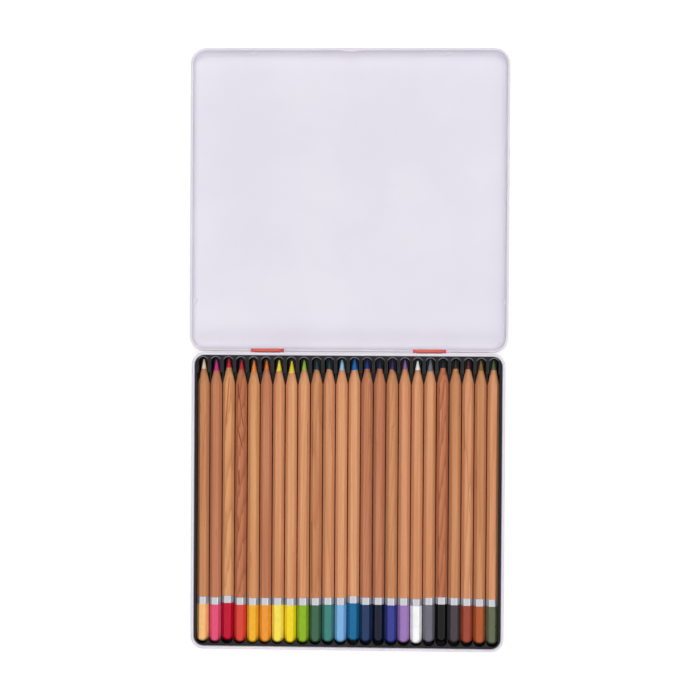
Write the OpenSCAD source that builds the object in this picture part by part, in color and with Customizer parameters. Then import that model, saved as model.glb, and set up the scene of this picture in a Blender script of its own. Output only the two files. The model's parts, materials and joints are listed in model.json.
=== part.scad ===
// Hinged flat tin for coloured pencils, shown open with its lid laid back.
// Origin: centre of the base pan's underside. +X right, +Y towards the lid, +Z up. Millimetres.

/* [Pencils] */
// Number of pencils in the row
pencil_count = 24; // [6:1:24]
// Distance between neighbouring pencils
pitch = 7.87; // [7.6:0.01:9]
// Width of a pencil across its flats
flats = 6.5; // [6:0.1:6.6]
// Radius that the hexagon's corners are turned down to
corner_turn = 3.63; // [3.5:0.01:3.7]
// Length from the blunt tip to the end of the cap
pencil_len = 176.5; // [120:0.1:176.7]
// Length of the sharpened cone
cone_len = 15.2; // [14:0.1:20]
// Radius of the worn tip
tip_r = 0.45; // [0.3:0.05:0.8]
// Diameter of the coloured core
core_d = 3.2; // [2.5:0.1:4]
// Glue line between the core and the wood
glue = 0.05; // [0.02:0.01:0.1]
// Length of the dipped colour cap
cap_len = 23.6; // [15:0.2:35]
// Width of the silver band above the cap
band_len = 4.4; // [2:0.1:8]
// Rounding of the cap's end
cap_round = 2.8; // [1:0.1:3]

/* [Tin] */
// Thickness of the tinplate
sheet = 0.3; // [0.25:0.05:0.4]
// Total height with the lid closed
closed_h = 13; // [12.5:0.5:18]
// Height of the base pan over its rolled edge
base_h = 10.3; // [9.8:0.1:10.5]
// Width of the base pan over its rolled edge
base_w = 195; // [194.6:0.2:215]
// Depth of the base pan over its rolled edge, front to hinge
base_d = 185.3; // [185:0.1:205]
// Corner radius of the base pan over its rolled edge
base_corner = 8; // [7:0.5:8.5]
// Diameter of the base pan's rolled edge
base_roll = 1.8; // [1.5:0.1:1.9]
// Radius where the base pan's walls meet its floor
base_bend = 1.8; // [1.2:0.1:2]
// Gap between the closed lid and the base's rolled edge
lid_gap = 0.35; // [0.3:0.05:0.6]
// Diameter of the lid's rolled edge
lid_roll = 1.5; // [1.2:0.1:1.6]
// Radius where the lid's walls meet its panel
lid_bend = 4; // [3:0.5:4]
// Width of the thumb catch pressed into the lid's front edge
catch_w = 12; // [8:1:16]
// Depth of the thumb catch
catch_in = 0.7; // [0.5:0.1:1.1]
// Height of the thumb catch, from the lid's edge
catch_h = 1.6; // [1.6:0.05:1.7]
// Distance of the front stop dimples from the middle
dimple_x = 61; // [30:1:75]
// Distance of the side stop dimples from the lid's hinge edge
dimple_y = 31.8; // [20:1:80]
// Height of the dimples over the sheet
dimple_in = 0.7; // [0.4:0.1:0.7]

/* [Hinge] */
// Distance of each hinge from the middle
hinge_x = 50.5; // [30:0.5:70]
// Width of each lid lug
lug_w = 16.4; // [12:0.1:30]
// Diameter of the bar that the lug curls round
bar_d = 1.7; // [1.5:0.1:1.8]
// Radial running clearance of the lug on its bar
hinge_run = 0.05; // [0.02:0.01:0.1]
// Thickness of the curled lug
lug_t = 0.35; // [0.3:0.05:0.4]
// Gap between the two rolled edges when the lid lies open
edge_gap = 0.5; // [0.4:0.1:1.5]
// Width of the base's knuckles, which hold the bar's ends
knuckle_w = 1.8; // [1:0.1:3]

/* [Tray] */
// Thickness of the formed plastic sheet
tray_t = 0.5; // [0.4:0.05:0.55]
// Height of the tray's flange over the tin's floor
tray_h = 8.5; // [8:0.1:8.9]
// Gap between the flange and the tin's wall
tray_gap = 0.3; // [0.2:0.05:0.5]
// Clear width of a groove where the pencil is widest
groove_w = 7.5; // [7.45:0.05:7.6]
// Clear length of a groove
groove_len = 179.2; // [178.8:0.1:179.4]
// Corner radius of a groove's front end, seen from above
groove_round = 3.4; // [2.5:0.1:3.5]
// Corner radius of the tray's body
body_corner = 4.4; // [4.3:0.1:4.8]
// Level strip between the outermost grooves and the tray's sides
side_land = 0.15; // [0.1:0.05:0.3]
// Mean gap between the cap ends and the grooves' front ends
cap_gap = 1.2; // [0.8:0.1:1.4]
// Gap between a groove's slanting sides and the pencil
flank_gap = 0.25; // [0.15:0.05:0.4]
// Height of the ridges over the groove floor
ridge_h = 2.2; // [1.5:0.1:2.3]
// Length of each finger well, where the ridges are left out
well_len = 45; // [20:1:70]
// Length of the pockets that the tips lie in, up to the finger wells
pocket_len = 9.8; // [8:0.2:10.6]
// Radius of the pockets' round ends
pocket_r = 2.8; // [2.7:0.05:3.1]
// Rounding of the pockets' upper edges
lip = 0.6; // [0.2:0.05:0.7]
// Rounding along the tray's lower edges
tray_round = 1.5; // [1:0.1:1.8]
// Gap under each piece that rests on another
seat = 0.05; // [0.02:0.01:0.2]

/* [Hidden] */
function two_digits(i) = i < 10 ? str("0", i) : str(i);
function pencil_name(i) = str("pencil_", two_digits(i));
function core_name(i) = str("core_", two_digits(i));
$fn = 64;
e = 0.01; // overlap of a cutter past the face it cuts
narrow = 0.3; // least width of a hollow

// colours of the caps and of the sharpened cores, left to right
CAPS = ["#F7BE7F", "#E25478", "#B91432", "#E1483A", "#EEAF32", "#F09632", "#FAE150", "#F0D728",
    "#82B428", "#41694B", "#418278", "#7DAFE6", "#1E6EA5", "#2D4678", "#1E2637", "#41419B",
    "#9B78B9", "#FAFAFA", "#6E6E82", "#141414", "#4E484C", "#AA4B3C", "#B25C37", "#646B53"];
CORES = ["#FAD7BE", "#D7328C", "#CD233C", "#CD2D37", "#FA8C3C", "#F0782D", "#F8E141", "#F5D73C",
    "#96C83C", "#2D4146", "#283C41", "#A5D2FA", "#1E6EBE", "#1E3C8C", "#232D4B", "#3C2D64",
    "#9164A5", "#FAFAFA", "#737884", "#28282A", "#37302A", "#5F3234", "#8C6932", "#556946"];
WOOD = "#C98A5E";
// how far each pencil has slid towards the front of its groove
SLID = [0.25, 0.6, -0.5, 0.55, 0.8, 0.6, 0.5, 0.75, 0.45, 0.35, -0.1, -0.05,
    -1.2, -0.35, -0.45, -0.2, -0.25, 0.2, -0.75, -1.15, -0.8, -0.5, -0.2, -0.1];

// tin
rim_z = closed_h / 2;                       // lid's edge and hinge axis, so that the open lid lies flat
hinge_y = base_d / 2 + (lid_gap + lid_roll + edge_gap) / 2;
lid_y = 2 * hinge_y;                        // middle of the open lid
lid_w = base_w + 2 * (lid_gap + lid_roll);
lid_d = base_d + 2 * (lid_gap + lid_roll);
lid_corner = base_corner + lid_gap + lid_roll;
base_wall_y = base_d / 2 - base_roll + sheet;    // outer face of the base's back wall
bar_r = bar_d / 2;
lug_in = bar_r + hinge_run;
lug_out = lug_in + lug_t;
bridge_w = lug_w + 2 * (knuckle_w + lid_gap);
notch_w = bridge_w + 2 * lid_gap;
notch_h = max(lid_roll, bar_r + lid_gap) + lid_gap;
catch_face = lid_d / 2 - lid_roll + sheet;       // outer face of the lid's front wall
catch_r = (catch_w * catch_w / 4 + catch_in * catch_in) / 2 / catch_in;
dimple_off = 3;                             // ball's centre beyond the bend, which sets the width
dimple_r = dimple_off + dimple_in + sheet;
dimple_reach = 3;                           // how far a dimple can spread past the bend

// tray and pencils
flat_half = flats / 2 * tan(30);            // half width of one flat
tray_z = sheet + seat;
groove_z = tray_z + tray_t;
pencil_z = groove_z + seat + flats / 2;     // height of the pencils' axes
ridge_z = groove_z + ridge_h;
flange_z = sheet + tray_h;
tray_w = base_w - 2 * (base_roll + tray_gap);
tray_d = base_d - 2 * (base_roll + tray_gap);
tray_corner = base_corner - base_roll - tray_gap;
row_w = (pencil_count - 1) * pitch + groove_w;
body_w = row_w + 2 * (tray_t + side_land);
body_d = groove_len + 2 * tray_t;
neck_y = groove_len / 2 - pocket_len;       // where the grooves narrow to the pockets
well_y = neck_y - well_len / 2;
land_r = pitch / 2 - pocket_r;              // half width of the land between two pockets
lean = tan(30);                             // slope of a pencil's lower sides
foot_half = flat_half + flank_gap;          // half width of a groove's floor
side_wall = tray_t / cos(30);               // level thickness of a slanting wall
first_well = [3, 10];                       // ridges that the left well leaves out

function pencil_x(i) = (i - (pencil_count + 1) / 2) * pitch;
function in_well(i) = (i >= first_well[0] && i <= first_well[1])
    || (pencil_count - i >= first_well[0] && pencil_count - i <= first_well[1]);

// carries a section (radius from the corner centre, height) round a rectangle with round corners
module round_the_rim(w, d, r) {
    for (a = [0, 90, 180, 270]) {
        along_x = a % 180 != 0;
        reach = (along_x ? d : w) / 2 - r;
        half = (along_x ? w : d) / 2 - r;
        rotate([0, 0, a]) translate([reach, half, 0]) {
            rotate([90, 0, 0]) linear_extrude(2 * half) children();
            rotate_extrude(angle = 90) children();
        }
    }
}

// plate with round corners, from z = 0 up
module plate(w, d, r, t) {
    round_the_rim(w, d, r) square([r, t]);
    translate([r - w / 2, r - d / 2, 0]) cube([w - 2 * r, d - 2 * r, t]);
}

// quarter of a bent sheet, from floor to wall
module bend(r, t) {
    intersection() {
        difference() {
            circle(r);
            circle(r - t);
        }
        translate([0, -r]) square(r);
    }
}

// rolled edge, open where the curl ends against the wall
module roll(d, t) {
    difference() {
        circle(d / 2);
        circle(d / 2 - t);
        translate([t - d / 2, -d / 2]) square([d / 4, d / 2]);
    }
}

// section of a pan's wall: floor edge, bend, wall and rolled edge
module wall_section(r, h, roll_d, bend_r, t) {
    face = r - roll_d + t;
    square([face - bend_r, t]);
    translate([face - bend_r, bend_r]) bend(bend_r, t);
    translate([face - t, bend_r]) square([t, h - roll_d / 2 - bend_r]);
    translate([r - roll_d / 2, h - roll_d / 2]) roll(roll_d, t);
}

module pan(w, d, r, h, roll_d, bend_r, t) {
    round_the_rim(w, d, r) wall_section(r, h, roll_d, bend_r, t);
    translate([r - w / 2, r - d / 2, 0]) cube([w - 2 * r, d - 2 * r, t]);
}

// bar in the back wall that a lid lug curls round, held by a knuckle at each end
module hinge_bridge() {
    bar_w = bridge_w - knuckle_w;
    translate([-bar_w / 2, hinge_y, rim_z]) rotate([0, 90, 0]) cylinder(h = bar_w, r = bar_r);
    for (s = [-1, 1]) translate([s * (bridge_w - knuckle_w) / 2 - knuckle_w / 2, 0, rim_z]) {
        translate([0, hinge_y, 0]) rotate([0, 90, 0]) cylinder(h = knuckle_w, r = lug_out);
        translate([0, base_wall_y - sheet / 2, -bar_r])
            cube([knuckle_w, hinge_y - base_wall_y + sheet / 2, bar_d]);
    }
}

module base_pan() {
    slot_w = bridge_w - 2 * knuckle_w;
    color("#ECEAF2") difference() {
        union() {
            pan(base_w, base_d, base_corner, base_h, base_roll, base_bend, sheet);
            for (s = [-1, 1]) translate([s * hinge_x, 0, 0]) hinge_bridge();
        }
        for (s = [-1, 1])
            translate([s * hinge_x - slot_w / 2, base_wall_y - sheet - e, rim_z - bar_r])
                cube([slot_w, sheet + 2 * e, bar_d]);
    }
}

// section of the lid's outside near a wall, from which the dimples are pressed
module lid_outside(face) {
    translate([face - lid_bend - dimple_reach, 0]) square([dimple_reach, lid_bend + dimple_reach]);
    translate([face - lid_bend, lid_bend]) circle(lid_bend);
    translate([face - lid_bend, lid_bend]) square([lid_bend, dimple_reach]);
}

// a stop dimple, pressed in where the wall on the +X side of the frame meets the panel
module dimple(face, r) {
    deep = (lid_bend + dimple_off) * cos(45);
    translate([face - lid_bend + deep, 0, lid_bend - deep]) sphere(r);
}

module dimple_shell(face) {
    intersection() {
        dimple(face, dimple_r);
        translate([0, dimple_r, 0]) rotate([90, 0, 0]) linear_extrude(2 * dimple_r) lid_outside(face);
    }
}

// places a child made for the +X side at each of the four dimples
module at_dimples() {
    for (s = [-1, 1]) {
        translate([0, dimple_y - lid_d / 2, 0]) rotate([0, 0, s > 0 ? 0 : 180])
            translate([lid_w / 2 - lid_corner, 0, 0]) children();
        translate([s * dimple_x, 0, 0]) rotate([0, 0, 90])
            translate([lid_d / 2 - lid_corner, 0, 0]) children();
    }
}

// thumb catch: the lid's front wall pressed in along an arc, just behind its rolled edge
module thumb_catch() {
    join = lid_roll / 10;                   // overlap of the arc's ends with the straight wall
    low_z = rim_z - catch_h - sheet;
    high_z = rim_z - lid_roll / 2;
    translate([0, catch_face - catch_in + catch_r, 0]) intersection() {
        rotate_extrude() translate([catch_r, low_z]) square([sheet, high_z + sheet - low_z]);
        translate([-catch_w / 2 - join, -catch_r - 2 * sheet, 0])
            cube([catch_w + 2 * join, catch_in + 3 * sheet, closed_h]);
    }
    // ledges that close the step
    for (z = [low_z, high_z]) intersection() {
        translate([0, catch_face - catch_in + catch_r, z]) cylinder(h = sheet, r = catch_r + sheet / 2);
        translate([-catch_w, catch_face - 2 * catch_in - sheet, 0])
            cube([2 * catch_w, 2 * catch_in + sheet, closed_h]);
    }
}

// lug that runs up from the lid's back wall and curls round the base's bar
module lug_section() {
    wall_in = lid_y / 2 - base_d / 2 - lid_gap;  // lid wall's inner face, from the hinge axis
    difference() {
        union() {
            circle(lug_out);
            translate([wall_in - sheet, -lid_roll - lug_out]) square([sheet, lid_roll + lug_out]);
        }
        circle(lug_in);
    }
}

module lid_lug() {
    translate([-lug_w / 2, hinge_y, rim_z]) rotate([90, 0, 90]) linear_extrude(lug_w) lug_section();
}

module lid() {
    color("#E6E2EE") union() {
        difference() {
            union() {
                translate([0, lid_y, 0]) {
                    pan(lid_w, lid_d, lid_corner, rim_z, lid_roll, lid_bend, sheet);
                    at_dimples() dimple_shell(lid_corner - lid_roll + sheet);
                }
            }
            translate([0, lid_y, 0]) at_dimples() dimple(lid_corner - lid_roll + sheet, dimple_r - sheet);
            for (s = [-1, 1])
                translate([s * hinge_x - notch_w / 2, lid_y - lid_d / 2 - e, rim_z - notch_h])
                    cube([notch_w, lid_roll + 2 * e, notch_h + e]);
            translate([-catch_w / 2, lid_y + catch_face - sheet - e, rim_z - catch_h])
                cube([catch_w, sheet + 2 * e, catch_h - lid_roll / 2]);
        }
        for (s = [-1, 1]) translate([s * hinge_x, 0, 0]) lid_lug();
        translate([0, lid_y, 0]) thumb_catch();
    }
}

// cross-section of one groove: slanting sides up to the ridge tops, open above
module groove_section() {
    top = foot_half + lean * ridge_h;
    wide = groove_w / 2 + e;
    polygon([[-foot_half, groove_z], [foot_half, groove_z], [top, ridge_z], [wide, ridge_z],
        [wide, tray_h + ridge_z], [-wide, tray_h + ridge_z], [-wide, ridge_z], [-top, ridge_z]]);
}

// hollow under a ridge, as the formed sheet leaves it
module ridge_section() {
    low = pitch / 2 - foot_half - side_wall + lean * tray_t + lean * e;
    high_z = ridge_z - tray_t;
    high = pitch / 2 - foot_half - side_wall - lean * (high_z - groove_z);
    polygon([[-low, tray_z - e], [low, tray_z - e], [high, high_z], [-high, high_z]]);
}

// hollow between the outermost groove and the tray's side
module side_section() {
    far = body_w / 2 - tray_t - pencil_x(pencil_count);
    low = foot_half + side_wall - lean * (tray_t + e);
    high_z = groove_z + (far - narrow - foot_half - side_wall) / lean;
    polygon([[low, tray_z - e], [far, tray_z - e], [far, high_z], [far - narrow, high_z]]);
}

module along_y(from, to) {
    translate([0, to, 0]) rotate([90, 0, 0]) linear_extrude(to - from) children();
}

// outline of a groove from its middle to one side and one end, seen from above
module groove_corner(reach) {
    flat = groove_w / 2 - groove_round;
    square([groove_w / 2, reach - groove_round]);
    square([flat, reach]);
    translate([flat, reach - groove_round]) circle(groove_round);
}

// one groove as wide as a pencil, up to the pockets for the tips
module groove() {
    intersection() {
        along_y(-groove_len / 2 - e, neck_y) groove_section();
        for (s = [0, 1]) mirror([s, 0, 0]) {
            linear_extrude(tray_h + ridge_z) mirror([0, 1]) groove_corner(groove_len / 2);
            translate([-e, -e, 0]) cube([groove_w / 2 + e, neck_y + 2 * e, tray_h + ridge_z]);
        }
    }
}

// section of a pocket, from x = from to its rounded upper edge
module pocket_section(from) {
    difference() {
        polygon([[from, groove_z], [foot_half, groove_z],
            [pocket_r, groove_z + (pocket_r - foot_half) / lean], [pocket_r, flange_z - lip],
            [pocket_r + lip, flange_z - lip], [pocket_r + lip, flange_z + e], [from, flange_z + e]]);
        translate([pocket_r + lip, flange_z - lip]) circle(lip);
    }
}

// pocket for a tip, with a round end
module pocket() {
    middle_y = groove_len / 2 - pocket_r;
    translate([0, middle_y, 0]) rotate_extrude() pocket_section(0);
    for (s = [0, 1]) mirror([s, 0, 0]) along_y(neck_y - e, middle_y) pocket_section(-foot_half);
}

// what rounds the end of the land between two pockets, seen from above and along its upper edge
module land_end() {
    translate([0, neck_y, ridge_z]) linear_extrude(tray_h) difference() {
        translate([-land_r - e, -e]) square([2 * (land_r + e), land_r + e]);
        translate([0, land_r]) circle(land_r);
    }
    translate([0, neck_y + land_r, flange_z - lip]) rotate([0, 0, 180])
        rotate_extrude(angle = 180) translate([land_r - lip, 0]) difference() {
            square(lip + e);
            circle(lip);
        }
}

module pencil_tray() {
    hollow = groove_len / 2 - tray_t;
    well_half = well_len / 2 + tray_t;
    hollow_w = 2 * (land_r - tray_t);
    color("#17161A") difference() {
        union() {
            translate([0, 0, tray_z]) plate(body_w, body_d, body_corner, flange_z - tray_z);
            translate([0, 0, flange_z - tray_t]) plate(tray_w, tray_d, tray_corner, tray_t);
        }
        // lower edges
        translate([0, 0, tray_z]) round_the_rim(body_w, body_d, body_corner) difference() {
            translate([body_corner - tray_round, -e]) square([tray_round + e, tray_round + e]);
            translate([body_corner - tray_round, tray_round]) circle(tray_round);
        }
        // open room over the ridges, the grooves, and the pockets for the tips
        translate([-row_w / 2, groove_round - groove_len / 2, ridge_z])
            cube([row_w, neck_y + groove_len / 2 - groove_round, tray_h]);
        for (i = [1:pencil_count]) translate([pencil_x(i), 0, 0]) {
            groove();
            pocket();
        }
        // lands between the pockets, and the hollows below them and the ridges
        for (i = [1:pencil_count - 1]) translate([pencil_x(i) + pitch / 2, 0, 0]) {
            land_end();
            translate([-hollow_w / 2, neck_y + land_r, tray_z - e])
                cube([hollow_w, hollow - neck_y - land_r, flange_z - tray_t - tray_z + e]);
            if (in_well(i)) {
                along_y(-hollow, well_y - well_half) ridge_section();
                along_y(well_y + well_half, hollow) ridge_section();
            } else {
                along_y(-hollow, hollow) ridge_section();
            }
        }
        for (s = [0, 1]) mirror([s, 0, 0]) translate([pencil_x(pencil_count), 0, 0])
            along_y(body_corner - body_d / 2, body_d / 2 - body_corner) side_section();
        // finger wells
        for (s = [0, 1]) mirror([s, 0, 0])
            translate([pencil_x(first_well[0]), well_y - well_len / 2, groove_z])
                cube([pencil_x(first_well[1] + 1) - pencil_x(first_well[0]), well_len, ridge_h + e]);
    }
}

// half outline of a pencil, turned round its axis: tip at the top, cap end at zero
module pencil_profile() {
    flat_r = corner_turn - cap_round;
    square([flat_r, cap_round]);
    intersection() {
        translate([flat_r, cap_round]) circle(cap_round);
        translate([flat_r, 0]) square(cap_round);
    }
    translate([0, cap_round]) polygon([[0, 0], [corner_turn, 0],
        [corner_turn, pencil_len - cone_len - cap_round],
        [tip_r, pencil_len - cap_round], [0, pencil_len - cap_round]]);
}

// lays a child that stands on its cap end into groove i, tip towards the hinge
module in_groove(i) {
    back = -(groove_len / 2 - cap_gap + SLID[i - 1]);
    translate([pencil_x(i), back, pencil_z]) rotate([-90, 0, 0]) children();
}

module stick(from, to) {
    intersection() {
        rotate_extrude() pencil_profile();
        translate([0, 0, from]) cylinder(h = to - from, r = flats / 2 / cos(30), $fn = 6);
    }
}

// one pencil: bare hexagonal cedar, a silver band and an end dipped in colour
module pencil(i) {
    in_groove(i) difference() {
        union() {
            color(CAPS[i - 1]) stick(0, cap_len);
            color("silver") stick(cap_len, cap_len + band_len);
            color(WOOD) stick(cap_len + band_len, pencil_len);
        }
        translate([0, 0, cap_round]) cylinder(h = pencil_len, r = core_d / 2 + glue);
    }
}

// the coloured core of a pencil, sharpened with it
module core(i) {
    color(CORES[i - 1]) in_groove(i) intersection() {
        rotate_extrude() pencil_profile();
        translate([0, 0, cap_round + glue]) cylinder(h = pencil_len, r = core_d / 2);
    }
}

base_pan();
lid();
pencil_tray();
for (i = [1:pencil_count]) {
    pencil(i);
    core(i);
}
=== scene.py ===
import json
import math
import bmesh
import bpy
from mathutils import Euler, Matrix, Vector


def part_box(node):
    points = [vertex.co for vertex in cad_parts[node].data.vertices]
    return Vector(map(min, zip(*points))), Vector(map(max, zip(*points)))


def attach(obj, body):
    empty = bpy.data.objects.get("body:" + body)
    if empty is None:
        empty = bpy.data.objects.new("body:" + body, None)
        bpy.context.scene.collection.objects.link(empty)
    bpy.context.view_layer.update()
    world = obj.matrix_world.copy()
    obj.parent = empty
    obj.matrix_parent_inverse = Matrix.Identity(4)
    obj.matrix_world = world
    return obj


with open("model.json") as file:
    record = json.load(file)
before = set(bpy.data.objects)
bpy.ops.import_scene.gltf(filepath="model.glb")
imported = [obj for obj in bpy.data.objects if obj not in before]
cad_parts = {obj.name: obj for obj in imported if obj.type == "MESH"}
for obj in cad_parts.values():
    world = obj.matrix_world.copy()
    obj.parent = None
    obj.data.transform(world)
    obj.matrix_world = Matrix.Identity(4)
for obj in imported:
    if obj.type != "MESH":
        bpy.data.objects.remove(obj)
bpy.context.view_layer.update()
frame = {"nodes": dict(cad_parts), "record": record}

mm = 0.001
weldReach = 0.002 * mm  # vertices nearer than this count as one
nodes = frame["nodes"]
print("frame loaded:", len(nodes), "solids")


# shader maths: sockets that add and multiply like numbers
def linear(hexTone):  # "#rrggbb" as written on a colour card -> linear colour
    channels = [int(hexTone[i:i + 2], 16) / 255 for i in (1, 3, 5)]
    return [c / 12.92 if c <= 0.04045 else ((c + 0.055) / 1.055) ** 2.4 for c in channels] + [1]


def darker(tone, share):
    return [channel * share for channel in tone[:3]] + [1]


class Wire:  # one socket, with sums written as sums
    def __init__(self, finish, socket):
        self.finish = finish
        self.socket = socket

    def math(self, operation, first, second=0.0):
        return self.finish.node("ShaderNodeMath", {"operation": operation}, {0: first, 1: second})

    def __add__(self, other):
        return self.math("ADD", self, other)

    def __radd__(self, other):
        return self.math("ADD", other, self)

    def __sub__(self, other):
        return self.math("SUBTRACT", self, other)

    def __rsub__(self, other):
        return self.math("SUBTRACT", other, self)

    def __mul__(self, other):
        return self.math("MULTIPLY", self, other)

    def __truediv__(self, other):
        return self.math("DIVIDE", self, other)

    def __pow__(self, other):
        return self.math("POWER", self, other)

    def fraction(self):
        return self.math("FRACT", self)

    def size(self):
        return self.math("ABSOLUTE", self)

    def lowest(self, other):
        return self.math("MINIMUM", self, other)

    def rise(self, low, high):  # 0 below low, 1 above high, smooth between
        return self.finish.node("ShaderNodeMapRange", {"interpolation_type": "SMOOTHSTEP"},
                                {"Value": self, "From Min": low, "From Max": high})


class Finish:  # the nodes of one material or world
    def __init__(self, owner, endKind="ShaderNodeOutputMaterial"):
        self.owner = owner
        owner.use_nodes = True
        self.tree = owner.node_tree
        self.tree.nodes.clear()
        self.end = self.tree.nodes.new(endKind)

    def node(self, kind, settings=None, inputs=None, output=0):
        made = self.tree.nodes.new(kind)
        for name, value in (settings or {}).items():
            setattr(made, name, value)
        for name, value in (inputs or {}).items():
            if isinstance(value, Wire):
                self.tree.links.new(value.socket, made.inputs[name])
            else:
                made.inputs[name].default_value = value
        return Wire(self, made.outputs[output])

    def place(self, centre=(0, 0, 0), stretch=(1, 1, 1)):  # object coordinates in mm from a centre
        here = self.node("ShaderNodeTexCoord", output="Object")
        return self.node("ShaderNodeMapping", None, {
            "Vector": here, "Scale": [s / mm for s in stretch],
            "Location": [-c * s / mm for c, s in zip(centre, stretch)]})

    def split(self, vector):
        return [self.node("ShaderNodeSeparateXYZ", None, {"Vector": vector}, axis) for axis in range(3)]

    def noise(self, vector, scale, detail, roughness=0.5, seed=0.0):
        return self.node("ShaderNodeTexNoise", {"noise_dimensions": "4D"}, {
            "Vector": vector, "Scale": scale, "Detail": detail, "Roughness": roughness, "W": seed})

    # noise drawn out along a pencil, different for each number
    def grain(self, centre, number, stretch, scale, detail, roughness, seed):
        here = self.place(centre, (1, stretch, 1))
        return self.noise(here, scale, detail, roughness, number + seed)

    def blend(self, factor, below, above):
        return self.node("ShaderNodeMix", {"data_type": "RGBA"}, {0: factor, 6: below, 7: above}, 2)

    def bump(self, height, distance, strength):
        return self.node("ShaderNodeBump", None, {
            "Height": height, "Distance": distance * mm, "Strength": strength})

    def surface(self, **sockets):
        inputs = {name.replace("_", " "): value for name, value in sockets.items()}
        shader = self.node("ShaderNodeBsdfPrincipled", None, inputs)
        self.tree.links.new(shader.socket, self.end.inputs[0])
        return self.owner


def newFinish(name):
    return Finish(bpy.data.materials.new(name))


# smoothing and finishes on the solids that come with the frame
def smooth(piece, angle):  # round faces shade round, edges over the angle stay crisp
    for polygon in piece.data.polygons:
        polygon.use_smooth = True
    weld = piece.modifiers.new("weld", "WELD")
    weld.merge_threshold = weldReach
    split = piece.modifiers.new("crisp edges", "EDGE_SPLIT")
    split.split_angle = math.radians(angle)
    split.use_edge_sharp = False


def dress(piece, *materials):
    piece.data.materials.clear()
    for material in materials:
        piece.data.materials.append(material)


tin = {
    "white": ("#E3E0EA", "#DFDBE7"),   # lacquer inside, with a lavender cast
    "coral": ("#E06C5C", "#DA6354"),   # lacquer outside
    "rosy": ("#E04E60", "#DA485A"),    # coral on the base's knuckles
    "whiteRoughness": 0.34,
    "coralRoughness": 0.3,
    "specular": 0.3,
    "cornerRadius": 8 * mm,
    "rollSize": 1.8 * mm,
    "hingeX": 50.5 * mm,
    "hingeWidth": 21.4 * mm,
    "lugRadius": 1.35 * mm,
    "outsideTilt": 0.02,     # a face that turns outward by more than this is outside
    "cloud": (0.02, 3),      # noises are given as scale and detail
    "cloudEdges": (0.3, 0.7),
    "sheen": (0.06, 4),
    "sheenSpread": 0.12,
    "peel": (0.9, 2),
    "peelDepth": 0.006,      # mm
    "peelStrength": 0.4,
    "crispAngle": 32,        # degrees
}


def lacquer(name, tone, shade, roughness):
    finish = newFinish(name + " lacquer")
    here = finish.place()
    cloud = finish.noise(here, *tin["cloud"])
    sheen = finish.noise(here, *tin["sheen"])
    peel = finish.noise(here, *tin["peel"])
    return finish.surface(
        Base_Color=finish.blend(cloud.rise(*tin["cloudEdges"]), linear(tone), linear(shade)),
        Roughness=roughness + (sheen - 0.5) * tin["sheenSpread"],
        Specular_IOR_Level=tin["specular"],
        Normal=finish.bump(peel, tin["peelDepth"], tin["peelStrength"]))


def roundedOutward(point, middle, half, corner):  # level direction away from a round-cornered middle
    away = [point[i] - middle[i] for i in (0, 1)]
    reach = [max(abs(away[i]) - (half[i] - corner), 0) * math.copysign(1, away[i]) for i in (0, 1)]
    length = math.hypot(*reach)
    return (reach[0] / length, reach[1] / length) if length > 1e-6 else (0, 0)


def coatTin(piece, hinge):  # white inside and over the rolled edge, coral outside
    low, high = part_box(piece.name)
    half = (high.x, tin["halfDepth"][piece.name])
    middle = (0, tin["middleY"][piece.name])
    top = tin["rimZ"][piece.name]
    for polygon in piece.data.polygons:
        centre, normal = polygon.center, polygon.normal
        outward = roundedOutward(centre, middle, half, tin["cornerRadius"])
        outside = normal.x * outward[0] + normal.y * outward[1] - normal.z > tin["outsideTilt"]
        inRoll = centre.z > top - tin["rollSize"]
        atHinge = abs(abs(centre.x) - tin["hingeX"]) < tin["hingeWidth"] / 2
        fromAxis = math.hypot(centre.y - hinge[0], centre.z - hinge[1])
        if atHinge and fromAxis < tin["lugRadius"]:
            polygon.material_index = 2 if piece.name == "base_pan" else 1
        else:
            polygon.material_index = 1 if outside and not inRoll else 0


baseLow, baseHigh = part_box("base_pan")
lidLow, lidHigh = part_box("lid")
hingeAxis = frame["record"]["behaviour"]["joints"][0]["pos_m"][1:]  # y and z
tin["halfDepth"] = {"base_pan": -baseLow.y, "lid": lidHigh.y - 2 * hingeAxis[0]}
tin["middleY"] = {"base_pan": 0, "lid": 2 * hingeAxis[0]}
tin["rimZ"] = {"base_pan": baseHigh.z, "lid": hingeAxis[1]}

white = lacquer("white", *tin["white"], tin["whiteRoughness"])
coral = lacquer("coral", *tin["coral"], tin["coralRoughness"])
rosy = lacquer("rosy", *tin["rosy"], tin["coralRoughness"])
for name in ("base_pan", "lid"):
    dress(nodes[name], white, coral, rosy)
    coatTin(nodes[name], hingeAxis)
    smooth(nodes[name], tin["crispAngle"])
print("tin coated")


tray = {
    "tone": "#151517",
    "worn": "#1B1B1E",
    "edge": "#808086",       # rounded edges of the pockets, painted pale grey as a painted highlight
    "roughness": 0.24,
    "wearRoughness": 0.12,
    "specular": 0.25,
    "wear": (0.15, 4),       # noises are given as scale and detail
    "wearEdges": (0.35, 0.75),
    "ripple": (0.35, 2),
    "rippleDepth": 0.03,     # mm
    "rippleStrength": 0.35,
    "fine": (3.0, 2),
    "fineShare": 0.1,
    "pitch": 7.87,           # mm
    "pocketRadius": 2.8,
    "pocketMiddle": 86.8,    # middle of a pocket's round end, along the tray
    "lip": 0.6,              # width of the painted highlight
    "lipShares": (0, 0.3, 0.6, 1.1),  # of the lip: painted highlight from, fully bright, to, dark again
    "lipStart": (1.0, 2.2),  # past the pocket's middle
    "lipHeight": (8, 8.3),   # only on the tray's upper face
    "crispAngle": 32,        # degrees
}


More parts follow.
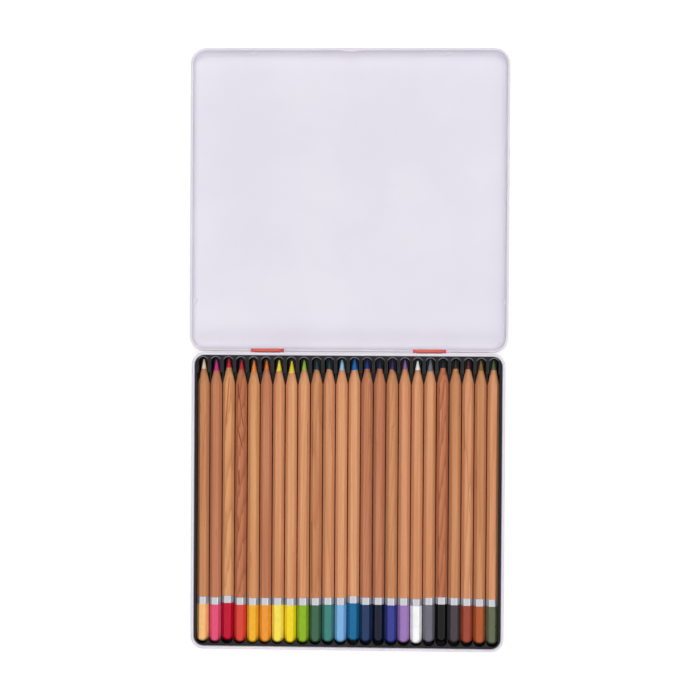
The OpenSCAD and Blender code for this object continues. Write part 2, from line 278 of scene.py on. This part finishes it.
def formedPlastic():
    finish = newFinish("black formed plastic")
    here = finish.place()
    wear = finish.noise(here, *tray["wear"])
    ripple = finish.noise(here, *tray["ripple"])
    fine = finish.noise(here, *tray["fine"])
    x, y, z = finish.split(here)
    across = ((x / tray["pitch"]).fraction() - 0.5) * tray["pitch"]
    along = y - tray["pocketMiddle"]
    reach = (across * across + along * along) ** 0.5 - tray["pocketRadius"]
    paleFrom, palest, paleTo, darkAgain = [tray["lip"] * share for share in tray["lipShares"]]
    # painted highlight: a pale grey band on the rounded lip at the hinge end of each pocket, where light
    # from the front would glint
    lip = reach.rise(paleFrom, palest) * (1 - reach.rise(paleTo, darkAgain))
    lip = lip * along.rise(*tray["lipStart"]) * z.rise(*tray["lipHeight"])
    tone = finish.blend(wear.rise(*tray["wearEdges"]), linear(tray["tone"]), linear(tray["worn"]))
    return finish.surface(
        Base_Color=finish.blend(lip, tone, linear(tray["edge"])),
        Roughness=tray["roughness"] + wear * tray["wearRoughness"],
        Specular_IOR_Level=tray["specular"],
        Normal=finish.bump(ripple + fine * tray["fineShare"], tray["rippleDepth"], tray["rippleStrength"]))


dress(nodes["pencil_tray"], formedPlastic())
smooth(nodes["pencil_tray"], tray["crispAngle"])
print("tray dressed")


pencil = {
    "capLength": 23.6,       # mm
    "bandLength": 4.4,
    "bandOverlap": 0.1,      # of the band over the cap
    "capCoat": 0.06,
    "bandCoat": 0.03,
    "bore": 1.75,            # faces nearer to the axis than this line the bore
    "flat": 1.88,            # half width of one flat
    "endSkin": 1.0,          # the skin at the dipped end is kept over this length
    "coneSlope": 0.2092,     # radius gained for each mm from the tip
    "tipRadius": 0.45,
    "specular": 0.25,
    "crispAngle": 10,        # degrees
    "leadCrispAngle": 30,
}

woods = {  # dark late wood, middle, pale early wood
    "amber": ("#A15F38", "#BB7B53", "#CC9165"),
    "honey": ("#AC653D", "#CD8C5D", "#DEA572"),
    "russet": ("#814129", "#AE6744", "#C37E59"),
    "rose": ("#965839", "#B4704F", "#C48561"),
    "tan": ("#AE6943", "#C9865C", "#D89B72"),
    "pale": ("#B77248", "#D08E62", "#E0A579"),
}

caps = {
    "peach": "#F4BC78", "pink": "#E34F76", "crimson": "#BD0029", "vermilion": "#D94234",
    "golden": "#EFB229", "orange": "#EE9830", "lemon": "#F8E156", "yellow": "#F4D71D",
    "leaf": "#8AB31D", "forest": "#3A6247", "sea": "#3D8079", "sky": "#7CB1E3",
    "blue": "#0B6798", "navy": "#1D355D", "night": "#071126", "ultramarine": "#333A8C",
    "lilac": "#9B76B6", "white": "#F8F8F8", "slate": "#6A6874", "black": "#000000",
    "graphite": "#433C41", "brick": "#9C4430", "sienna": "#AC562A", "olive": "#5F654C",
}

leads = {
    "peach": "#FAD9C0", "pink": "#D8338C", "crimson": "#CE243C", "vermilion": "#CE2D38",
    "golden": "#FA8E3E", "orange": "#F1792E", "lemon": "#F8E243", "yellow": "#F5D73D",
    "leaf": "#97C93D", "forest": "#2D4146", "sea": "#283D42", "sky": "#A5D2FA",
    "blue": "#1E6EBE", "navy": "#1E3C8C", "night": "#232D4B", "ultramarine": "#3C2D64",
    "lilac": "#9265A6", "white": "#FAFAFA", "slate": "#737885", "black": "#28282A",
    "graphite": "#37302A", "brick": "#5F3234", "sienna": "#8C6A33", "olive": "#556946",
}

# colour, wood, pith of the log seen from the pencil (mm across, mm down), its lean (mm for each mm
# along the pencil, across and down), width of a ring, strength of the late wood, length of the
# pigment on the tip and its slant
row = [
    ("peach", "amber", (-60, -30), (0.02, 0.01), 3.1, 0.5, 5.4, 0.0),
    ("pink", "rose", (70, -40), (-0.01, 0.01), 1.2, 0.3, 6.6, 0.1),
    ("crimson", "honey", (-22, -25), (0.09, 0.06), 3.4, 0.9, 5.5, 0.0),
    ("vermilion", "russet", (-26, -9), (0.14, 0.09), 3.6, 1.0, 5.2, 0.2),
    ("golden", "honey", (40, -60), (0.03, 0.03), 3.0, 0.6, 6.5, 0.3),
    ("orange", "rose", (-80, -50), (0.0, 0.01), 1.0, 0.3, 5.2, 0.1),
    ("lemon", "tan", (60, -30), (0.01, 0.02), 2.0, 0.5, 6.6, 0.2),
    ("yellow", "pale", (-50, -60), (0.02, -0.02), 2.6, 0.4, 7.6, 0.1),
    ("leaf", "pale", (55, -25), (0.03, 0.0), 1.9, 0.7, 5.2, 0.0),
    ("forest", "amber", (-30, -45), (0.03, 0.05), 2.8, 0.7, 5.4, -0.5),
    ("sea", "tan", (45, -50), (-0.02, 0.03), 3.2, 0.6, 5.8, -0.4),
    ("sky", "pale", (-70, -20), (0.01, 0.0), 1.3, 0.6, 6.3, 0.1),
    ("blue", "pale", (60, -60), (0.02, 0.03), 2.8, 0.4, 7.4, 0.1),
    ("navy", "rose", (-40, -40), (0.04, 0.02), 1.1, 0.6, 5.6, 0.1),
    ("night", "rose", (35, -70), (0.02, -0.02), 2.2, 0.4, 5.3, -0.3),
    ("ultramarine", "amber", (-40, -20), (0.06, 0.02), 2.0, 0.5, 5.8, -0.6),
    ("lilac", "tan", (70, -60), (0.0, 0.02), 2.6, 0.3, 5.6, 0.0),
    ("white", "tan", (-60, -60), (0.01, 0.0), 1.7, 0.4, 5.2, 0.0),
    ("slate", "tan", (80, -30), (0.0, 0.01), 3.4, 0.3, 7.3, 0.1),
    ("black", "russet", (-18, -30), (0.05, 0.03), 1.3, 1.0, 5.2, 0.2),
    ("graphite", "amber", (50, -40), (0.03, 0.02), 2.4, 0.5, 5.4, 0.2),
    ("brick", "tan", (-45, -30), (0.04, 0.03), 3.0, 0.8, 5.4, -0.5),
    ("sienna", "amber", (30, -50), (0.07, 0.05), 2.6, 0.6, 6.2, 0.0),
    ("olive", "tan", (-70, -50), (0.02, 0.03), 2.7, 0.5, 5.2, 0.0),
]


# noises are given as stretch along the pencil, scale, detail, roughness and seed
cedarLook = {
    "drift": (0.03, 0.35, 3, 0.6, 0),
    "fibre": (0.02, 2.2, 4, 0.65, 40),
    "fleck": (0.1, 2.6, 2, 0.5, 80),
    "cutEnds": (0.25, 3.0, 3, 0.6, 120),
    "ragged": (0.3, 1.6, 2, 0.5, 160),
    "ringDrift": 1.6,
    "ringStep": 0.37,        # rings start at another place on each pencil
    "lateSharpness": 3,
    "lateEnd": (0.9, 1.0),
    "lateShare": 0.85,
    "driftEdges": (0.3, 0.7),
    "fibreEdges": (0.35, 0.75),
    "fibreShare": 0.4,
    "fleckEdges": (0.62, 0.8),
    "fleckShare": 0.45,
    "wobble": 0.9,           # mm, of a streak
    "streakTone": 0.8,
    "streakCore": 0.2,       # share of a streak's half width that is fully dark
    "streakBegins": (-1, 2), # mm round the start, over which it darkens
    "streakEnds": (-3, 1),   # mm round the end, over which it fades
    "paintedSideWidth": 0.4,        # mm, over which the side flats are painted paler as painted light
    "paintedSideLight": 0.35,
    "coneEdges": (-0.06, -0.02),
    "cutEdges": (0.3, 0.8),
    "cutShare": 0.35,
    "slantStretch": 1.5,
    "raggedStretch": 1.2,
    "pigmentEdge": 0.1,
    "roughness": 0.5,
    "coneRoughness": 0.2,
    "fibreRoughness": 0.1,
    "lateHeight": 0.5,
    "bumpDepth": 0.03,
    "bumpStrength": 0.5,
}

# dark streaks in the grain: mm across at the start and at the end, mm from the tip at both, half
# width and strength
streaks = {
    1: [(1.4, 0.0, 34, 60, 0.35, 0.6), (-1.8, -1.5, 26, 34, 0.4, 0.5)],
    2: [(0.6, 0.8, 106, 111, 0.4, 0.6)],
    3: [(0.6, -1.6, 11, 42, 0.6, 0.9), (1.6, 1.4, 12, 26, 0.3, 0.7), (-1.2, -0.9, 95, 125, 0.5, 0.5)],
    4: [(-1.9, 1.7, 16, 42, 0.35, 1.0), (-1.7, -1.5, 14, 25, 0.55, 0.9), (-2.2, 1.4, 41, 56, 0.5, 1.0),
        (-1.1, -0.8, 68, 79, 0.7, 0.9), (-1.6, -1.2, 97, 108, 0.5, 0.8)],
    5: [(-1.3, -1.0, 119, 130, 0.5, 0.6), (1.4, 2.0, 36, 58, 0.3, 0.4)],
    7: [(3.0, 2.9, 60, 100, 0.3, 0.6)],
    9: [(2.5, 2.3, 38, 130, 0.5, 0.7), (-2.5, -2.2, 20, 70, 0.4, 0.4)],
    10: [(-2.4, -2.2, 38, 62, 0.6, 0.9), (-2.6, -2.3, 100, 146, 0.7, 0.9), (1.7, 1.2, 13, 40, 0.25, 0.5)],
    11: [(-2.7, -2.4, 12, 45, 0.6, 0.6), (1.0, 2.2, 30, 60, 0.3, 0.5)],
    14: [(1.2, 0.9, 14, 60, 0.3, 0.5)],
    16: [(1.7, -0.8, 39, 44, 0.25, 0.9), (-1.8, -1.7, 18, 66, 0.3, 0.6)],
    20: [(-2.0, -1.9, 17, 23, 0.4, 1.0), (-2.4, -2.1, 23, 50, 0.3, 0.8), (-1.9, -2.1, 39, 49, 0.4, 1.0),
         (0.6, -0.8, 14, 48, 0.25, 0.7), (-2.0, -1.9, 82, 92, 0.35, 0.9), (-2.1, -2.1, 110, 119, 0.35, 0.9),
         (-2.1, -1.9, 136, 144, 0.35, 0.9)],
    21: [(2.7, 2.4, 12, 36, 0.5, 0.7)],
    22: [(-2.7, -1.8, 32, 57, 0.55, 0.9), (-0.6, 1.5, 57, 96, 0.3, 0.6)],
    23: [(-2.7, -2.6, 26, 34, 0.5, 0.7), (-2.6, -2.5, 68, 80, 0.5, 0.7)],
}


def streakMask(finish, x, fromTip, wobble, startX, endX, start, end, halfWidth):
    middle = (fromTip - start) * ((endX - startX) / (end - start)) + startX
    near = 1 - (x + wobble - middle).size().rise(halfWidth * cedarLook["streakCore"], halfWidth)
    begun = fromTip.rise(*[start + step for step in cedarLook["streakBegins"]])
    ended = fromTip.rise(*[end + step for step in cedarLook["streakEnds"]])
    return near * begun * (1 - ended)


def cedar(number, colour, wood, pith, lean, ringWidth, lateWood, pigment, slant, centre, tipY):
    finish = newFinish("cedar %02d" % number)
    look = cedarLook
    drift, fibre, fleck, cutEnds, ragged = [
        finish.grain(centre, number, *look[kind])
        for kind in ("drift", "fibre", "fleck", "cutEnds", "ragged")]
    x, y, z = finish.split(finish.place(centre))
    dark, middle, light = [linear(tone) for tone in woods[wood]]

    # rings of the log, whose pith lies beside the pencil
    across = x - y * lean[0] - pith[0]
    down = z - y * lean[1] - pith[1]
    fromPith = (across * across + down * down) ** 0.5
    ring = (fromPith / ringWidth + drift * look["ringDrift"] + number * look["ringStep"]).fraction()
    late = ring ** look["lateSharpness"] * (1 - ring.rise(*look["lateEnd"]))
    tone = finish.blend(drift.rise(*look["driftEdges"]), middle, light)
    tone = finish.blend(fibre.rise(*look["fibreEdges"]) * look["fibreShare"], tone, middle)
    tone = finish.blend(late * lateWood * look["lateShare"], tone, dark)
    tone = finish.blend(fleck.rise(*look["fleckEdges"]) * look["fleckShare"], tone, dark)

    fromTip = (tipY - centre[1]) / mm - y
    wobble = (drift - 0.5) * look["wobble"]
    for startX, endX, start, end, halfWidth, strength in streaks.get(number, []):
        streak = streakMask(finish, x, fromTip, wobble, startX, endX, start, end, halfWidth)
        tone = finish.blend(streak * strength, tone, darker(dark, look["streakTone"]))
    # painted light: the side flats are painted paler, as if they were lit as brightly as the top flat
    side = x.size().rise(pencil["flat"], pencil["flat"] + look["paintedSideWidth"])
    tone = finish.blend(side * look["paintedSideLight"], tone, light)

    # sharpened cone, with the pigment rubbed over its edge
    fromAxis = (x * x + z * z) ** 0.5
    coneAt = fromTip * pencil["coneSlope"] + pencil["tipRadius"]
    cone = (fromAxis - coneAt).rise(*look["coneEdges"])
    tone = finish.blend(cone * cutEnds.rise(*look["cutEdges"]) * look["cutShare"], tone, light)
    edge = fromTip + x * slant * look["slantStretch"] + (ragged - 0.5) * look["raggedStretch"]
    dyed = cone * (1 - edge.rise(pigment - look["pigmentEdge"], pigment + look["pigmentEdge"]))
    tone = finish.blend(dyed, tone, linear(leads[colour]))
    return finish.surface(
        Base_Color=tone,
        Roughness=look["roughness"] + cone * look["coneRoughness"] + fibre * look["fibreRoughness"],
        Specular_IOR_Level=pencil["specular"],
        Normal=finish.bump(fibre + late * look["lateHeight"] + cone * cutEnds,
                           look["bumpDepth"], look["bumpStrength"]))


leadLook = {
    "scrape": (0.15, 3.0, 3, 0.6, 0),
    "scrapeEdges": (0.4, 0.8),
    "scrapeShare": 0.35,
    "speck": (1, 5.0, 2, 0.5, 30),
    "speckEdges": (0.65, 0.8),
    "speckShare": 0.3,
    "shade": 0.72,
    "roughness": 0.42,
    "scrapeRoughness": 0.15,
    "bumpDepth": 0.03,
    "bumpStrength": 0.5,
}


def waxyLead(number, colour, centre):
    finish = newFinish("lead %02d" % number)
    look = leadLook
    scrape = finish.grain(centre, number, *look["scrape"])
    speck = finish.grain(centre, number, *look["speck"])
    worn = (scrape.rise(*look["scrapeEdges"]) * look["scrapeShare"]
            + speck.rise(*look["speckEdges"]) * look["speckShare"])
    tone = linear(leads[colour])
    return finish.surface(
        Base_Color=finish.blend(worn, tone, darker(tone, look["shade"])),
        Roughness=look["roughness"] + scrape * look["scrapeRoughness"],
        Specular_IOR_Level=pencil["specular"],
        Normal=finish.bump(scrape, look["bumpDepth"], look["bumpStrength"]))


capLook = {
    "cloud": (1, 0.3, 2, 0.5, 0),
    "cloudEdges": (0.35, 0.7),
    "ripple": (1, 0.8, 1, 0.5, 0),
    "shade": 0.93,
    "roughness": 0.25,
    "cloudRoughness": 0.08,
    "bumpDepth": 0.02,
    "bumpStrength": 0.4,
}


def dippedPaint(number, colour, centre):
    finish = newFinish("dipped paint %02d" % number)
    look = capLook
    cloud = finish.grain(centre, number, *look["cloud"])
    ripple = finish.grain(centre, number, *look["ripple"])
    tone = linear(caps[colour])
    return finish.surface(
        Base_Color=finish.blend(cloud.rise(*look["cloudEdges"]), tone, darker(tone, look["shade"])),
        Roughness=look["roughness"] + cloud * look["cloudRoughness"],
        Specular_IOR_Level=pencil["specular"],
        Normal=finish.bump(ripple, look["bumpDepth"], look["bumpStrength"]))


bandLook = {
    "tone": "#C4C4CA",
    "paintedSideShade": "#B0B0B8",
    "paintedSideWidth": 0.15,       # mm to each side of the flat's edge
    "paintedSideDullness": 0.6,     # metal taken off the side flats, as painted shade
    "lines": (0.06, 3.0, 3, 0.6, 0),
    "lineHeight": 0.5,
    "crease": (1, 1.2, 3, 0.6, 9),
    "roughness": 0.26,
    "lineRoughness": 0.15,
    "bumpDepth": 0.015,
    "bumpStrength": 0.5,
}


def silverFoil(number, centre):
    finish = newFinish("silver foil %02d" % number)
    look = bandLook
    lines = finish.grain(centre, number, *look["lines"])
    crease = finish.grain(centre, number, *look["crease"])
    x = finish.split(finish.place(centre))[0]
    # painted shade: the side flats get a greyer, less metallic silver, standing in for how the light falls
    # on them
    side = x.size().rise(pencil["flat"] - look["paintedSideWidth"], pencil["flat"] + look["paintedSideWidth"])
    return finish.surface(
        Base_Color=finish.blend(side, linear(look["tone"]), linear(look["paintedSideShade"])),
        Metallic=1.0 - side * look["paintedSideDullness"],
        Roughness=look["roughness"] + lines * look["lineRoughness"],
        Normal=finish.bump(lines * look["lineHeight"] + crease, look["bumpDepth"], look["bumpStrength"]))


def sleeve(name, casing, fromY, toY, coat, material, body):  # a thin skin over part of a casing
    shell = bmesh.new()
    shell.from_mesh(casing.data)
    bmesh.ops.remove_doubles(shell, verts=shell.verts, dist=weldReach)
    low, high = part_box(casing.name)
    middle = (low + high) / 2
    for y, side in ((fromY, -1), (toY, 1)):
        bmesh.ops.bisect_plane(shell, geom=shell.verts[:] + shell.edges[:] + shell.faces[:],
                               plane_co=(0, y, 0), plane_no=(0, side, 0), clear_outer=True)
    inBore = []
    for face in shell.faces:
        spot = face.calc_center_median()
        fromAxis = math.hypot(spot.x - middle.x, spot.z - middle.z)
        if fromAxis < pencil["bore"] * mm and spot.y > low.y + pencil["endSkin"] * mm:
            inBore.append(face)
    bmesh.ops.delete(shell, geom=inBore, context="FACES")
    bmesh.ops.recalc_face_normals(shell, faces=shell.faces)
    mesh = bpy.data.meshes.new(name)
    shell.to_mesh(mesh)
    shell.free()
    piece = bpy.data.objects.new(name, mesh)
    bpy.context.scene.collection.objects.link(piece)
    skin = piece.modifiers.new("coat", "SOLIDIFY")
    skin.thickness = coat * mm
    skin.offset = 1
    mesh.materials.append(material)
    smooth(piece, pencil["crispAngle"])
    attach(piece, body)


for number, (colour, wood, pith, lean, ringWidth, lateWood, pigment, slant) in enumerate(row, 1):
    casing = nodes["pencil_%02d" % number]
    core = nodes["core_%02d" % number]
    low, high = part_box(casing.name)
    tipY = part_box(core.name)[1].y
    centre = ((low.x + high.x) / 2, 0, (low.z + high.z) / 2)
    dress(casing, cedar(number, colour, wood, pith, lean, ringWidth, lateWood, pigment, slant, centre, tipY))
    dress(core, waxyLead(number, colour, centre))
    capTop = low.y + pencil["capLength"] * mm
    bandTop = capTop + pencil["bandLength"] * mm
    body = "pencil_%02d" % number
    sleeve("cap_%02d" % number, casing, low.y - pencil["endSkin"] * mm, capTop, pencil["capCoat"],
           dippedPaint(number, colour, centre), body)
    sleeve("band_%02d" % number, casing, capTop - pencil["bandOverlap"] * mm, bandTop, pencil["bandCoat"],
           silverFoil(number, centre), body)
    smooth(casing, pencil["crispAngle"])
    smooth(core, pencil["leadCrispAngle"])
print("pencils dressed")


studio = {
    "ambient": 0.15,
    "aim": (0, 0.09, 0),
    "lamps": [  # name, place, size, brightness of a white card that faces it, seen in gloss
        ("overhead softbox", (0, 0.09, 1.4), 0.9, 0.32, False),
        ("back softbox", (0, 1.0, 1.1), 0.6, 0.28, False),
        ("front softbox", (0, -0.95, 0.7), 0.3, 0.22, True),
        ("right softbox", (0.95, 0.1, 0.85), 1.0, 0.28, True),
        ("left softbox", (-0.95, 0.1, 0.95), 1.0, 0.17, True),
    ],
    "floorZ": -0.05 * mm,
    "floorGlow": 0.75,
    "floorTone": 0.35,       # what the camera sees, which keeps the shadow
    "floorLight": 0.85,      # what lights the object from below
    "floorReach": 6,
}

camera = {
    "location": (0.0307801, 0.1062486, 0.8994225),
    "turnDegrees": (-0.7463, 1.9122, 0.3511),
    "lens": 73.742,
    "sensor": 36,
}


def buildWorld():
    world = bpy.data.worlds.new("studio")
    bpy.context.scene.world = world
    finish = Finish(world, "ShaderNodeOutputWorld")
    inCamera, inGloss, inGlass = [finish.node("ShaderNodeLightPath", output="Is %s Ray" % kind)
                                  for kind in ("Camera", "Glossy", "Transmission")]
    lit = finish.node("ShaderNodeBackground", None, {"Color": (1, 1, 1, 1), "Strength": studio["ambient"]})
    plain = finish.node("ShaderNodeBackground", None, {"Color": (1, 1, 1, 1), "Strength": 1.0})
    seen = (inCamera + inGloss + inGlass).lowest(1)
    both = finish.node("ShaderNodeMixShader", None, {0: seen, 1: lit, 2: plain})
    finish.tree.links.new(both.socket, finish.end.inputs[0])


def buildLamp(name, place, size, brightness, seenInGloss):
    light = bpy.data.lights.new(name, "AREA")
    light.size = size
    lamp = bpy.data.objects.new(name, light)
    lamp.location = place
    reach = Vector(studio["aim"]) - lamp.location
    light.energy = brightness * (math.pi * reach.length) ** 2
    lamp.rotation_euler = reach.to_track_quat("-Z", "Y").to_euler()
    lamp.visible_camera = False
    lamp.visible_glossy = seenInGloss
    bpy.context.scene.collection.objects.link(lamp)


def buildFloor():
    table = bmesh.new()
    bmesh.ops.create_grid(table, x_segments=1, y_segments=1, size=studio["floorReach"])
    bmesh.ops.translate(table, verts=table.verts, vec=(0, 0, studio["floorZ"]))
    mesh = bpy.data.meshes.new("floor")
    table.to_mesh(mesh)
    table.free()
    floor = bpy.data.objects.new("floor", mesh)
    bpy.context.scene.collection.objects.link(floor)
    finish = newFinish("pale floor")
    isCamera = finish.node("ShaderNodeLightPath", output="Is Camera Ray")
    lit = finish.node("ShaderNodeBsdfDiffuse", None, {"Color": [studio["floorLight"]] * 3 + [1]})
    shadowed = finish.node("ShaderNodeBsdfDiffuse", None, {"Color": [studio["floorTone"]] * 3 + [1]})
    glow = finish.node("ShaderNodeEmission", None, {"Strength": studio["floorGlow"]})
    seen = finish.node("ShaderNodeAddShader", None, {0: shadowed, 1: glow})
    both = finish.node("ShaderNodeMixShader", None, {0: isCamera, 1: lit, 2: seen})
    finish.tree.links.new(both.socket, finish.end.inputs[0])
    mesh.materials.append(finish.owner)


def buildCamera():
    view = bpy.data.cameras.new("camera")
    view.lens = camera["lens"]
    view.sensor_width = camera["sensor"]
    seat = bpy.data.objects.new("camera", view)
    seat.location = camera["location"]
    seat.rotation_euler = Euler([math.radians(a) for a in camera["turnDegrees"]], "XYZ")
    bpy.context.scene.collection.objects.link(seat)
    bpy.context.scene.camera = seat


buildWorld()
for lamp in studio["lamps"]:
    buildLamp(*lamp)
buildFloor()
buildCamera()
bpy.context.scene.view_settings.view_transform = "Standard"
print("studio lit")
